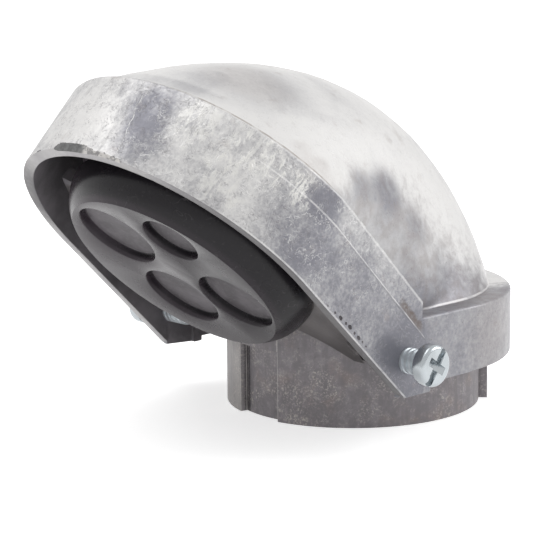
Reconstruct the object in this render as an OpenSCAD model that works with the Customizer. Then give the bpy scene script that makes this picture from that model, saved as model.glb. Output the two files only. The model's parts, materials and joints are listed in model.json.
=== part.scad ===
// Service entrance weatherhead: a threaded die-cast body that screws onto a conduit,
// a domed hood that lifts off it, a moulded insulator in its mouth and two hood screws.
// Origin: centre of the hub's open end. +Z points up the conduit, the mouth looks towards -Y and down.

/* [Hub] */
// Outside diameter of the threaded hub
hub_d = 50.8; // [49:0.1:51]
// Bore diameter, at the root of the internal thread
bore_d = 42.16; // [41:0.02:43]
// Length of hub below the hood's ring
hub_skirt = 10.3; // [9:0.1:12]
// Height of the two rear wrench ribs above the hub's surface
rib_h = 1.7; // [0.8:0.1:2]
// Depth of the flat channel in the hub's front
channel_h = 1.5; // [1:0.1:1.8]
// Bore diameter of the conduit stop at the top of the thread
stop_d = 38; // [36:0.5:39]

/* [Hood] */
// Wall thickness of the castings
wall = 2.3; // [2:0.1:2.8]
// Outside radius of the ring round the hub
ring_r = 31.6; // [31.2:0.1:32]
// Height of that ring
ring_h = 12.8; // [12:0.1:13.6]
// Outside radius of the arched band round the mouth
band_r = 33.8; // [33.4:0.1:34.2]
// Depth of the band, square to the rim
band_depth = 17; // [16:0.2:18]
// Angle of the rim's plane from horizontal
tilt = 44.4; // [43.5:0.1:45.5]
// Distance of the rim's plane from the centre of the ring's top
reach = 24.9; // [24.4:0.1:25.4]
// Distance up the rim's plane to the centre of its arch
arch_v = 40.7; // [40:0.1:41.4]
// How far the ears hang below the ring
ear_drop = 1; // [0.6:0.1:1.6]

/* [Dome] */
// Radius of the dome where it stands on the ring
dome_r = 27.3; // [27:0.1:27.6]
// Inset of the dome's top below the band
inset = 1.1; // [0.5:0.1:1.5]
// Pull of the dome's curve upwards, at the back
pull_back = 15.6; // [13:0.2:22]
// Pull of the dome's curve along the top, at the front
pull_top = 63; // [55:1:66]
// Angle at which the dome leaves the band
top_angle = 8.5; // [5:0.5:10]

/* [Insulator] */
// Radius of the insulator's flat face
face_r = 21.8; // [21.4:0.1:22.2]
// Radius of its front half where it meets the saddle
side_r = 25.5; // [25.2:0.1:25.8]
// Radius of the rim behind the saddle
back_r = 25.8; // [25:0.1:26]
// Height of the face above the saddle
face_h = 7.5; // [7:0.1:8.2]
// Depth of the knockout recesses
recess = 2.4; // [2:0.1:3]
// Thickness left at the bottom of a knockout
web = 1.6; // [1.2:0.1:1.8]

/* [Screws] */
// Thread diameter
screw_d = 4.83; // [4.6:0.01:4.9]
// Head diameter
head_d = 7.8; // [7.2:0.1:8.2]
// Head height
head_h = 2.7; // [2.4:0.1:3]
// Length under the head
screw_len = 12.7; // [12:0.1:13]
// Gap between the ear and the head, as the screws are backed out
backed_out = 4.4; // [4:0.1:4.8]

/* [Hidden] */
$fn = 96;
eps = 0.01;
big = 200;

ring_z = hub_skirt;                       // underside of the ring
top_z = ring_z + ring_h;                  // ring's top, where the dome stands
ear_z = ring_z - ear_drop;                // underside of the ears
ear_y = -14.5;                            // back edge of the ears
blend_y = -22;                            // where the ears' inner faces start to draw in
edge_r = 0.6;                             // rounding of the cast outer edges
valley_r = 7;                             // curvature of the shallow valley along the band behind each ear
valley_depth = 0.45;                      // how deep it lies in the band's side
valley_out = 10;                          // how far its middle stands out from the centre of the ring's top

hub_r = hub_d / 2;
bore_r = bore_d / 2;
rib_angles = [47, 133];                   // directions of the rear wrench ribs
rib_half = 7;                             // half the angle that a rib covers
channel_angle = -94;                      // direction of the front channel
channel_half = 12.7;                      // half the angle that it covers
shoulder_gap = 0.5;                       // play between the body's shoulder and the ring
shoulder_r = ring_r - wall - shoulder_gap;
shoulder_z = top_z - 9.2;                 // underside of the shoulder
seat_z = top_z - wall;                    // top of the shoulder, carries the hood
thread_len = 16;                          // bore below the conduit stop
stop_h = 2.2;                             // thickness of the conduit stop

saddle_t = 2.6;                           // thickness of the tilted saddle that holds the insulator
saddle_d = 5.1;                           // its front face, behind the rim's plane
saddle_r = 29;                            // its outer radius, round the insulator's centre
saddle_end = 33;                          // angle at which its two arms end, above the horizontal
// Lower part of the saddle as [half width, lower end]: the screws' tips run in under the first step
saddle_steps = [[24.8, 13.4], [20.4, 6]];

face_v = 40.4;                            // centre of the insulator, up the rim's plane
// Radius of the curve from its side to its face
edge_arc = (pow(side_r - face_r, 2) + face_h * face_h) / (2 * (side_r - face_r));
neck_r = 21.4;                            // part that sits in the saddle's slot
slot_gap = 0.2;                           // play between the neck and the slot
side_gap = 0.4;                           // play between the insulator and the hub's front
face_gap = 0.05;                          // play of the saddle in the insulator's groove
back_t = 2.3;                             // thickness of the rim behind the saddle
cup_r = 18.6;                             // hollow in the insulator's back
draft = 0.5;                              // how far a knockout's wall draws in towards its floor
// Knockouts: across, up, radius, all from the face's centre
knockouts = [[-6.7, 10.7, 8.1], [9.3, 12.3, 5.7], [-3.9, -7.8, 7.9], [12.2, -5.9, 7.7]];

screw_y = -20.7;
screw_z = top_z - 6.7;
thread_gap = 0.04;                        // radial play of the screw in the tapped ear
notch_r = 2.9;                            // relief in the body round the screw's tip
notch_x = 20.6;                           // inner end of that relief
slot_w = 1.2;
slot_depth = 1.1;
slot_angle = -35;                         // how the slot stands, from the vertical
head_edge = 0.9;                          // rounding of the head's edge
cross_w = 1.3;
cross_len = 4.6;
cross_depth = 1.7;

// ---- frames -------------------------------------------------------------

// Frame of the mouth: X across, Y up the rim's plane, Z out of the mouth, with the rim at Z = reach
module mouth_frame() {
    translate([0, 0, top_z]) rotate([180 - tilt, 0, 0]) children();
}

// Height above the ring's top at which the plane at this depth behind the rim passes over y
function plane_z(depth, y) = -(reach - depth + y * sin(tilt)) / cos(tilt);

// A point of the YZ plane, from its depth behind the rim and its distance up the rim's plane
function mouth_point(depth, v) =
    [-sin(tilt) * (reach - depth) - cos(tilt) * v, -cos(tilt) * (reach - depth) + sin(tilt) * v];

// ---- arch solids ----------------------------------------------------------

// Right half of a block's section, with its upper corner rounded
module half_section(w, h, r) {
    square([w, h - r]);
    square([w - r, h]);
    translate([w - r, h - r]) circle(r);
}

// A half-round block with straight legs towards -Y, rounded along its upper edge
module arch_block(r, leg, h, edge) {
    rotate_extrude(angle = 180) half_section(r, h, edge);
    rotate([90, 0, 0]) linear_extrude(leg) {
        half_section(r, h, edge);
        mirror([1, 0]) half_section(r, h, edge);
    }
}

// The same block with square edges
module arch_plain(r, leg, h) {
    linear_extrude(h) {
        circle(r);
        translate([-r, -leg]) square([2 * r, leg]);
    }
}

// ---- dome -----------------------------------------------------------------

rows = 26;                                // sections from the ring to the band
flank = 7;                                // points up each flank of a section
crown = 12;                               // points from a flank to the top
waist = 2.5;                              // how far the flanks draw in half way over
bulge = 3.2;                              // how much higher the crown's curve is half way over
dome_sink = 2.4;                          // how far the dome runs on into the ring and the band
dome_axis = [-(reach - band_depth) / sin(tilt), 0];    // where the ring's top meets the band's back plane

function mix(a, b, t) = a + (b - a) * t;
function smooth(t) = let(c = min(1, max(0, t))) c * c * (3 - 2 * c);
function bezier(a, b, c, d, t) =
    pow(1 - t, 3) * a + 3 * pow(1 - t, 2) * t * b + 3 * (1 - t) * t * t * c + pow(t, 3) * d;

// Centre line of the dome, from the back of the ring over the top to the band
function dome_line(off, t) =
    let(start = [dome_r - off, 0], finish = mouth_point(band_depth, arch_v + band_r - inset - off))
    bezier(start, start + [0, pull_back], finish + pull_top * [cos(top_angle), sin(top_angle)], finish, t);

// Half width at height r of a section of total height h, whose crown starts as a half ellipse of half
// width w. Its foot is always foot wide, and the flank swells or draws in between from * h and to * h.
function half_width(w, crown_h, foot, h, from, to, r) =
    let(up = max(0, r - (h - crown_h)) / crown_h,
        round_x = w * sqrt(max(0, 1 - up * up)))
    mix(foot, round_x, smooth((r / h - from) / (to - from)));

// Right half of one section as [x, r] pairs, from the foot to just short of the top
function half_arch(w, crown_h, foot, h, from, to) =
    [for (i = [1:flank]) let(r = (h - crown_h) * i / flank) [half_width(w, crown_h, foot, h, from, to, r), r],
     for (i = [1:crown - 1]) let(r = h - crown_h + crown_h * sin(90 * i / crown))
         [half_width(w, crown_h, foot, h, from, to, r), r]];

// All points of one section moved by shift, right foot to left foot over the top
function section(off, shift, t) =
    let(axis = dome_axis + shift,
        p = dome_line(off, t) + shift,
        h = norm(p - axis),
        dir = (p - axis) / h,
        half_way = 4 * t * (1 - t),
        w = mix(dome_r, band_r - inset, pow(t, 7)) - off - waist * half_way,
        crown_h = mix(dome_r, band_r - inset, pow(t, 1.3)) - off + bulge * half_way,
        side = half_arch(w, crown_h, dome_r - off, h, mix(0, 0.33, t), mix(0.28, 0.62, t)),
        n = len(side))
    [for (s = side) [s[0], axis[0] + dir[0] * s[1], axis[1] + dir[1] * s[1]],
     [0, p[0], p[1]],
     for (i = [n - 1:-1:0]) [-side[i][0], axis[0] + dir[0] * side[i][1], axis[1] + dir[1] * side[i][1]]];

// Closed dome, drawn in from its outer surface by off, its two flat ends run on straight by sink
module dome_block(off, sink) {
    down = [0, -sink];
    out = mouth_point(-sink, 0) - mouth_point(0, 0);
    // the line in which the planes of the two ends meet
    axis = [-(reach - band_depth + sink - sink * cos(tilt)) / sin(tilt), -sink];
    foot = dome_r - off;
    m = 2 * (flank + crown) - 1;
    last = rows + 2;
    right = (last + 1) * m;
    left = right + 1;
    points = [each section(off, down, 0), for (i = [0:rows]) each section(off, [0, 0], i / rows),
              each section(off, out, 1), [foot, axis[0], axis[1]], [-foot, axis[0], axis[1]],
              for (t = [0, 1]) let(c = mix(axis, dome_line(off, t) + (t == 0 ? down : out), 0.4)) [0, c[0], c[1]]];
    skin = [for (i = [0:last - 1], j = [0:m - 2]) each
            [[i * m + j, (i + 1) * m + j, i * m + j + 1],
             [i * m + j + 1, (i + 1) * m + j, (i + 1) * m + j + 1]]];
    feet = [for (i = [0:last - 1]) each
            [[right, (i + 1) * m, i * m], [left, i * m + m - 1, (i + 1) * m + m - 1]]];
    rim = [right, each [for (j = [0:m - 1]) j], left];
    caps = [for (k = [0:m + 1]) let(a = rim[k], b = rim[(k + 1) % (m + 2)], far = last * m) each
            [[a, b, left + 1],
             [b < m ? b + far : b, a < m ? a + far : a, left + 2]]];
    translate([0, 0, top_z]) polyhedron(points, concat(skin, feet, caps));
}

// ---- hood -----------------------------------------------------------------

// Everything behind the ears' back edge and below the point where it meets the band's back plane
module behind_ears(depth, y) {
    translate([-big / 2, y, -big]) cube([big, big, big + top_z + plane_z(depth, y)]);
}

module band_outside() {
    difference() {
        mouth_frame() translate([0, arch_v, reach]) mirror([0, 0, 1])
            arch_block(band_r, arch_v + 2 * band_depth, band_depth, edge_r);
        behind_ears(band_depth, ear_y);
        translate([-big / 2, -big, ear_z - big]) cube([big, 2 * big, big]);
    }
}

module ring_outside() {
    translate([0, 0, ring_z]) arch_block(ring_r, -ear_y + wall, ring_h, edge_r);
}

module band_inside() {
    difference() {
        mouth_frame() translate([0, arch_v, reach + 1]) mirror([0, 0, 1])
            arch_plain(band_r - wall, arch_v + 3 * band_depth, band_depth - wall + 1);
        behind_ears(band_depth - wall, ear_y - wall);
    }
}

// Inner faces that run from the band's wall to the ring's, over the height of the ears
module ear_blends() {
    for (s = [-1, 1]) scale([s, 1, 1]) translate([0, 0, ear_z]) linear_extrude(top_z - ear_z)
        polygon([[band_r - wall, blend_y], [ring_r - wall, ear_y], [band_r - wall / 2, ear_y],
                 [band_r - wall / 2, blend_y]]);
}

// Shallow valleys up the sides of the band, from the ears' back edges until the arch curves away from them
module ear_valleys() {
    for (s = [-1, 1]) scale([s, 1, 1]) mouth_frame()
        translate([band_r + valley_r - valley_depth, 0, valley_out]) rotate([-90, 0, 0])
            cylinder(r = valley_r, h = arch_v + band_r / 2);
}

module hood() {
    color("gainsboro") difference() {
        union() {
            difference() {
                union() {
                    band_outside();
                    ring_outside();
                    dome_block(0, dome_sink);
                }
                band_inside();
                translate([0, 0, ring_z - ear_drop - 1])
                    arch_plain(ring_r - wall, 30, ring_h - wall + ear_drop + 1);
                dome_block(wall, dome_sink + 0.6);
            }
            ear_blends();
        }
        ear_valleys();
        translate([-big / 2, screw_y, screw_z]) rotate([0, 90, 0])
            cylinder(r = screw_d / 2 + thread_gap, h = big);
    }
}

// ---- body -----------------------------------------------------------------

// A stretch of the hub's surface, from radius r1 to r2, around one direction
module hub_strip(angle, half, r1, r2, h) {
    rotate([0, 0, angle - half]) rotate_extrude(angle = 2 * half) translate([r1, 0]) square([r2 - r1, h]);
}

// C-shaped plate in the mouth, open at the top, so that the insulator drops into it
module saddle() {
    mouth_frame() translate([0, face_v, reach - saddle_d - saddle_t]) linear_extrude(saddle_t) difference() {
        union() {
            circle(saddle_r);
            for (s = saddle_steps) translate([-s[0], s[1] - face_v]) square([2 * s[0], face_v - s[1]]);
        }
        circle(neck_r + slot_gap);
        translate([-neck_r - slot_gap, 0]) square([2 * (neck_r + slot_gap), big]);
        polygon([[0, 0], for (a = [saddle_end, 90, 180 - saddle_end]) 3 * saddle_r * [cos(a), sin(a)]]);
    }
}

// Shoulder inside the ring, cut off in front by the plane of the saddle's front face
module shoulder() {
    difference() {
        translate([0, 0, shoulder_z]) cylinder(r = shoulder_r, h = seat_z - shoulder_z);
        mouth_frame() translate([-big / 2, -big / 2, reach - saddle_d]) cube(big);
    }
}

module hub_body() {
    color("dimgray") difference() {
        union() {
            cylinder(r = hub_r, h = seat_z);
            for (a = rib_angles) hub_strip(a, rib_half, hub_r - wall, hub_r + rib_h, seat_z);
            shoulder();
            saddle();
        }
        translate([0, 0, -1]) cylinder(r = bore_r, h = thread_len + 1);
        translate([0, 0, -1]) cylinder(d = stop_d, h = big);
        translate([0, 0, thread_len + stop_h]) cylinder(r = bore_r, h = big);
        translate([0, 0, -1]) hub_strip(channel_angle, channel_half, hub_r - channel_h, hub_r + 1, shoulder_z + 1);
        mouth_frame() translate([0, face_v, reach - saddle_d]) cylinder(r = side_r + side_gap, h = big);
        mouth_frame() translate([0, face_v, 0]) cylinder(r = back_r + side_gap, h = reach - saddle_d - saddle_t);
        for (s = [-1, 1]) scale([s, 1, 1])
            translate([notch_x, screw_y, screw_z]) rotate([0, 90, 0]) cylinder(r = notch_r, h = 20);
    }
}

// ---- insulator ------------------------------------------------------------

// Front of the insulator: a disc whose side curves over to the flat face
module front_profile() {
    square([side_r - edge_arc, face_h]);
    intersection() {
        square([side_r, face_h]);
        translate([side_r - edge_arc, 0]) circle(edge_arc);
    }
}

module insulator() {
    groove = saddle_t + face_gap;
    color([0.16, 0.16, 0.17]) mouth_frame() translate([0, face_v, reach - saddle_d]) difference() {
        rotate_extrude() difference() {
            union() {
                intersection() {
                    front_profile();
                    translate([0, face_gap]) square([side_r, face_h]);
                }
                translate([0, -groove - eps]) square([neck_r, groove + 1]);
                translate([0, -groove - back_t]) square([back_r, back_t]);
            }
            translate([-1, -groove - back_t - 1])
                square([cup_r + 1, groove + back_t + 1 + face_h - recess - web]);
        }
        for (k = knockouts)
            translate([k[0], k[1], face_h - recess])
                cylinder(r1 = k[2] - draft, r2 = k[2] + draft / recess, h = recess + 1);
    }
}

// ---- screws ---------------------------------------------------------------

// Cheese-head screw with a slot and a cross, along +X, the head's underside at the origin
module screw() {
    color("silver") rotate([0, 90, 0]) {
        difference() {
            rotate_extrude() half_section(head_d / 2, head_h, head_edge);
            rotate([0, 0, slot_angle]) translate([-head_d, -slot_w / 2, head_h - slot_depth])
                cube([2 * head_d, slot_w, head_h]);
            for (a = [0, 90]) rotate([0, 0, slot_angle + a])
                translate([-cross_len / 2, -cross_w / 2, head_h - cross_depth]) cube([cross_len, cross_w, head_h]);
        }
        translate([0, 0, -screw_len]) cylinder(d = screw_d, h = screw_len + eps);
    }
}

module screw_right() {
    translate([band_r + backed_out, screw_y, screw_z]) screw();
}

module screw_left() {
    mirror([1, 0, 0]) screw_right();
}

hub_body();
insulator();
hood();
screw_right();
screw_left();
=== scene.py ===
"""Looks of a die-cast service entrance weatherhead: castings, insulator, hood screws and a stage."""
import contextlib
import functools
import json
import math

import bmesh
import bpy
from mathutils import Matrix, Vector, noise


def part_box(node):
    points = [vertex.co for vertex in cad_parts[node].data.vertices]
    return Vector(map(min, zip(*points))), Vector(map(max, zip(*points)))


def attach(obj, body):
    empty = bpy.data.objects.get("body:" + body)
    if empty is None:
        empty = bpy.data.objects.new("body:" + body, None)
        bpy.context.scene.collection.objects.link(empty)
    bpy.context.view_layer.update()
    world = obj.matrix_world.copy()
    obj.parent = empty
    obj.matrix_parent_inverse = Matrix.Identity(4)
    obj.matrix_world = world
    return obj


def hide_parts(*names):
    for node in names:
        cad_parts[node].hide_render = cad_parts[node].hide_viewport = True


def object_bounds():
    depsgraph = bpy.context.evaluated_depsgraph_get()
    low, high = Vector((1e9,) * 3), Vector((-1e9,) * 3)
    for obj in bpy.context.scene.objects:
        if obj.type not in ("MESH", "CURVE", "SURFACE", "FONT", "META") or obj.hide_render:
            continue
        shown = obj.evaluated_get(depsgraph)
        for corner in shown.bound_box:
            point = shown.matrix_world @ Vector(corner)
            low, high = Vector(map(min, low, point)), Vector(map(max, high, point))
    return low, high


bl_info = {
    "name": "Service entrance weatherhead",
    "version": (1, 0, 0),
    "blender": (4, 5, 0),
    "location": "View3D > Sidebar > Weatherhead",
    "description": "Finishes the castings, insulator and screws of a weatherhead on a pale stage",
    "category": "Object",
}

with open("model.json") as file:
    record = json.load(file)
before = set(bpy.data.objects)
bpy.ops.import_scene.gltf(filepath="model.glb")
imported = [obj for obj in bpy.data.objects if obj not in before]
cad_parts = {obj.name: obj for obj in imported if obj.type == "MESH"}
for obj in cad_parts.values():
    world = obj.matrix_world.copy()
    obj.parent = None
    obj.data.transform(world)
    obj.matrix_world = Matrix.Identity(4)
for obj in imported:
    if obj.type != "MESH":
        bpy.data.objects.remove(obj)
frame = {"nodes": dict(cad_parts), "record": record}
CAD_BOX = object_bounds()

MM = 0.001
NODES = frame["nodes"]
BORE_RADIUS = frame["record"]["mounts"][0]["dims"]["r_mm"] * MM
THREAD_LENGTH = frame["record"]["mounts"][0]["dims"]["length_mm"] * MM
HOOD_LOW, HOOD_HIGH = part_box("hood")
BAND_RADIUS = HOOD_HIGH.x

ACROSS, REARWARD, UPWARD = Vector((1, 0, 0)), Vector((0, 1, 0)), Vector((0, 0, 1))

# The frame of the mouth: X across it, UP_RIM up the rim's plane, OUT straight out of it
TILT = math.radians(44.4)
OUT = Vector((0, -math.sin(TILT), -math.cos(TILT)))
UP_RIM = Vector((0, -math.cos(TILT), math.sin(TILT)))
RING_TOP = Vector((0, 0, 23.1 * MM))
RIM_REACH = 24.9 * MM
BAND_BACK = 8 * MM
EAR_BACK = -14.5 * MM
# The strip behind an ear ends this far out of the mouth
STRIP_FRONT = 12.6 * MM
ARCH_UP = 40.7 * MM

# The channel down the hub's front: where its sides stand round Z, and its depth
HUB_RADIUS = 25.4 * MM
CHANNEL_HALF = math.radians(12.7)
CHANNEL_LEFT = math.radians(-94) - CHANNEL_HALF
CHANNEL_RIGHT = math.radians(-94) + CHANNEL_HALF
CHANNEL_SUNK = 1.5 * MM

# How far out the insulator's face lies, how deep its knockouts are, and how far their floors are raised
INSULATOR_FACE = max((vertex.co - RING_TOP).dot(OUT) for vertex in NODES["insulator"].data.vertices)
RECESS = 2.4 * MM
FLOOR_RISE = 0.7 * MM

# The facet that the broken-off gate left on the rim's edge: where round the arch it runs, and its sides
GATE_START, GATE_SWEEP = math.radians(101), math.radians(31)
GATE_TALL, GATE_DEEP = 1.9 * MM, 0.9 * MM

# A hood screw's head, shank, slot and cross, and the room left under its head on the ear
HEAD_HEIGHT, SHANK_RADIUS = 2.7 * MM, 2.415 * MM
SLOT_WIDTH, SLOT_DEPTH = 1.3 * MM, 0.95 * MM
CROSS_LENGTH, CROSS_WIDTH, CROSS_DEPTH = 4.8 * MM, 1.6 * MM, 1.9 * MM
SEAT_GAP = 0.03 * MM

# How much of the floor's white is its own, so that the far floor is as white as the surround
FLOOR_GLOW = 0.6

# The camera aims at a point this far from the middle of the object's box, and the lights at another point
AIM_SHIFT = Vector((0.04, -4.44, -5.08)) * MM
LIT_POINT = (0, -0.02, 0.03)

# Colour of the bright edges on the hood, partly wear and partly painted highlight
WEAR_AND_HIGHLIGHT_BRIGHT = (0.90, 0.89, 0.88)

MERGE = 0.002 * MM
CREASE = math.radians(32)


# ---- settings ----

def amount(name, description, value, **kind):
    return bpy.props.FloatProperty(name=name, description=description, default=value, **kind)


def length(name, description, value):
    return amount(name, description, value, unit="LENGTH")


def angle(name, description, degrees):
    return amount(name, description, math.radians(degrees), subtype="ANGLE")


def colour(name, description, value):
    return bpy.props.FloatVectorProperty(
        name=name, description=description, default=value, size=3, min=0, max=1, subtype="COLOR")


class WeatherheadSizes(bpy.types.PropertyGroup):
    cast_edge: length("Cast edge", "Rounding of the castings' outer edges", 0.3 * MM)
    mould_edge: length("Moulded edge", "Rounding of the insulator's edges", 0.3 * MM)
    screw_pitch: length("Screw pitch", "Pitch of the hood screws' thread", 1.058 * MM)
    screw_thread: length("Screw thread depth", "Depth of the hood screws' thread", 0.35 * MM)
    slot_angle: angle("Slot angle", "Angle of the right screw's slot above the horizontal", 55)
    conduit_pitch: length("Conduit pitch", "Pitch of the thread in the hub's bore", 2.209 * MM)
    conduit_thread: length("Conduit thread depth", "Depth of the thread in the hub's bore", 1.2 * MM)


class WeatherheadFinish(bpy.types.PropertyGroup):
    hood_bright: colour("Hood, bright", "Tumbled casting where it is clean", (0.74, 0.73, 0.72))
    # Also the colour of the painted shade on the hood
    hood_dull_and_shade: colour("Hood, dull", "Blue-grey cloud on the tumbled casting", (0.205, 0.205, 0.235))
    hood_brown: colour("Hood, stain", "Brown trace on the tumbled casting", (0.24, 0.18, 0.15))
    torn_grey: colour("Torn metal", "Grey metal where the gate was broken off", (0.17, 0.17, 0.17))
    # The inside's colour, partly its own and partly painted shade
    inside_grey_and_shade: colour("Inside", "Untumbled inside of the hood", (0.125, 0.117, 0.125))
    hub_light: colour("Hub, light", "Pale stipple on the hub", (0.60, 0.56, 0.52))
    hub_dark: colour("Hub, dark", "Grey ground of the hub", (0.272, 0.254, 0.268))
    hub_brown: colour("Hub, stain", "Brown patches on the hub", (0.30, 0.235, 0.21))
    saddle_grey: colour("Saddle", "Smooth dark saddle round the insulator", (0.15, 0.14, 0.14))
    insulator_face: colour("Insulator", "Moulded insulator", (0.013, 0.011, 0.014))
    insulator_dust_and_reflection: colour("Insulator, dust", "Dust on the insulator's face", (0.046, 0.036, 0.045))
    insulator_floor: colour("Insulator, recesses", "Dusty floors of the knockouts", (0.115, 0.104, 0.114))
    zinc: colour("Zinc", "Zinc plating of the screws", (0.44, 0.47, 0.49))


class WeatherheadStage(bpy.types.PropertyGroup):
    azimuth: angle("Azimuth", "Direction of the camera round the object", 46.01)
    elevation: angle("Elevation", "Height of the camera above the object", 10.9)
    roll: angle("Roll", "Turn of the camera about its own axis", -0.616)
    distance: length("Distance", "Camera's distance from the object's middle", 410.5 * MM)
    lens: amount("Lens", "Focal length of the camera in millimetres", 143.94)
    key_power: amount("Key light", "Power of the large light above on the left, in watts", 2.4)
    fill_power: amount("Fill light", "Power of the light behind on the right, in watts", 2.75)
    daylight: amount("Surround", "Strength of the white surround on the object", 0.5)


# ---- modelling helpers ----

def focus(*objects):
    """Leaves only these objects selected, or none, in object mode, with the first one active."""
    if bpy.context.object and bpy.context.object.mode != "OBJECT":
        bpy.ops.object.mode_set(mode="OBJECT")
    bpy.ops.object.select_all(action="DESELECT")
    for piece in objects:
        piece.select_set(True)
    if objects:
        bpy.context.view_layer.objects.active = objects[0]


def add_object(name, data):
    """A new object with this mesh, light or camera."""
    piece = bpy.data.objects.new(name, data)
    bpy.context.scene.collection.objects.link(piece)
    return piece


@contextlib.contextmanager
def edit_mode(piece):
    """Edit mode on one piece, with all of it selected."""
    focus(piece)
    bpy.ops.object.mode_set(mode="EDIT")
    bpy.ops.mesh.select_all(action="SELECT")
    yield
    bpy.ops.object.mode_set(mode="OBJECT")


def select_only(piece, kind, wanted):
    """In edit mode, selects the edges or faces for which wanted is true."""
    bpy.ops.mesh.select_all(action="DESELECT")
    mesh = bmesh.from_edit_mesh(piece.data)
    for part in getattr(mesh, kind):
        part.select_set(wanted(part))
    bmesh.update_edit_mesh(piece.data)


def settle(piece):
    """Puts the object's place, turn and scale into its mesh."""
    focus(piece)
    bpy.ops.object.transform_apply(location=True, rotation=True, scale=True)


def apply_modifier(piece, kind, **values):
    """Adds one modifier, sets it up and applies it."""
    focus(piece)
    modifier = piece.modifiers.new(kind.title(), kind)
    for key, value in values.items():
        setattr(modifier, key, value)
    bpy.ops.object.modifier_apply(modifier=modifier.name)


def soften(piece, angle=CREASE):
    """Smooth shading over everything flatter than the crease angle."""
    focus(piece)
    bpy.ops.object.shade_smooth_by_angle(angle=angle)


def merged_copy(node, name):
    """A piece with a CAD node's surface, its loose triangles joined up."""
    piece = add_object(name, NODES[node].data.copy())
    piece.data.materials.clear()
    focus(piece)
    bpy.ops.mesh.customdata_custom_splitnormals_clear()
    with edit_mode(piece):
        bpy.ops.mesh.remove_doubles(threshold=MERGE)
    return piece


def round_edges(piece, wanted, width, segments=2):
    """Bevels the edges for which wanted(edge) is true."""
    with edit_mode(piece):
        bpy.ops.mesh.select_mode(type="EDGE")
        select_only(piece, "edges", lambda edge: edge.is_manifold and wanted(edge))
        bpy.ops.mesh.bevel(offset=width, offset_type="OFFSET", segments=segments, profile=0.5,
                           affect="EDGES", clamp_overlap=True)


def sharp(edge, degrees=40):
    return edge.calc_face_angle() > math.radians(degrees)


def both_ends(edge, test):
    return all(test(vertex.co) for vertex in edge.verts)


def in_mouth(point):
    """Across, up the rim's plane and out of the mouth, from the centre of the ring's top."""
    place = point - RING_TOP
    return place.x, place.dot(UP_RIM), place.dot(OUT)


@contextlib.contextmanager
def open_mesh(piece):
    """The piece's mesh to work on, put back into the piece at the end."""
    mesh = bmesh.new()
    mesh.from_mesh(piece.data)
    yield mesh
    mesh.to_mesh(piece.data)
    mesh.free()


def give_faces(piece, slot, wanted):
    """Gives the faces for which wanted(face) is true the material in this slot."""
    with open_mesh(piece) as mesh:
        for face in filter(wanted, mesh.faces):
            face.material_index = slot


def keep_borders(piece):
    """A crisp edge wherever two materials meet."""
    with open_mesh(piece) as mesh:
        for edge in mesh.edges:
            if len({face.material_index for face in edge.link_faces}) > 1:
                edge.smooth = False


def dress(piece, *materials):
    """Gives the piece these materials, in its slots' order."""
    piece.data.materials.clear()
    for material in materials:
        piece.data.materials.append(material)


def finish_piece(piece, body, node):
    """Lets the piece ride on a body in a CAD node's place."""
    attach(piece, body)
    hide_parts(node)


# ---- materials ----

def shade(colour, factor):
    return tuple(channel * factor for channel in colour)


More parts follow.
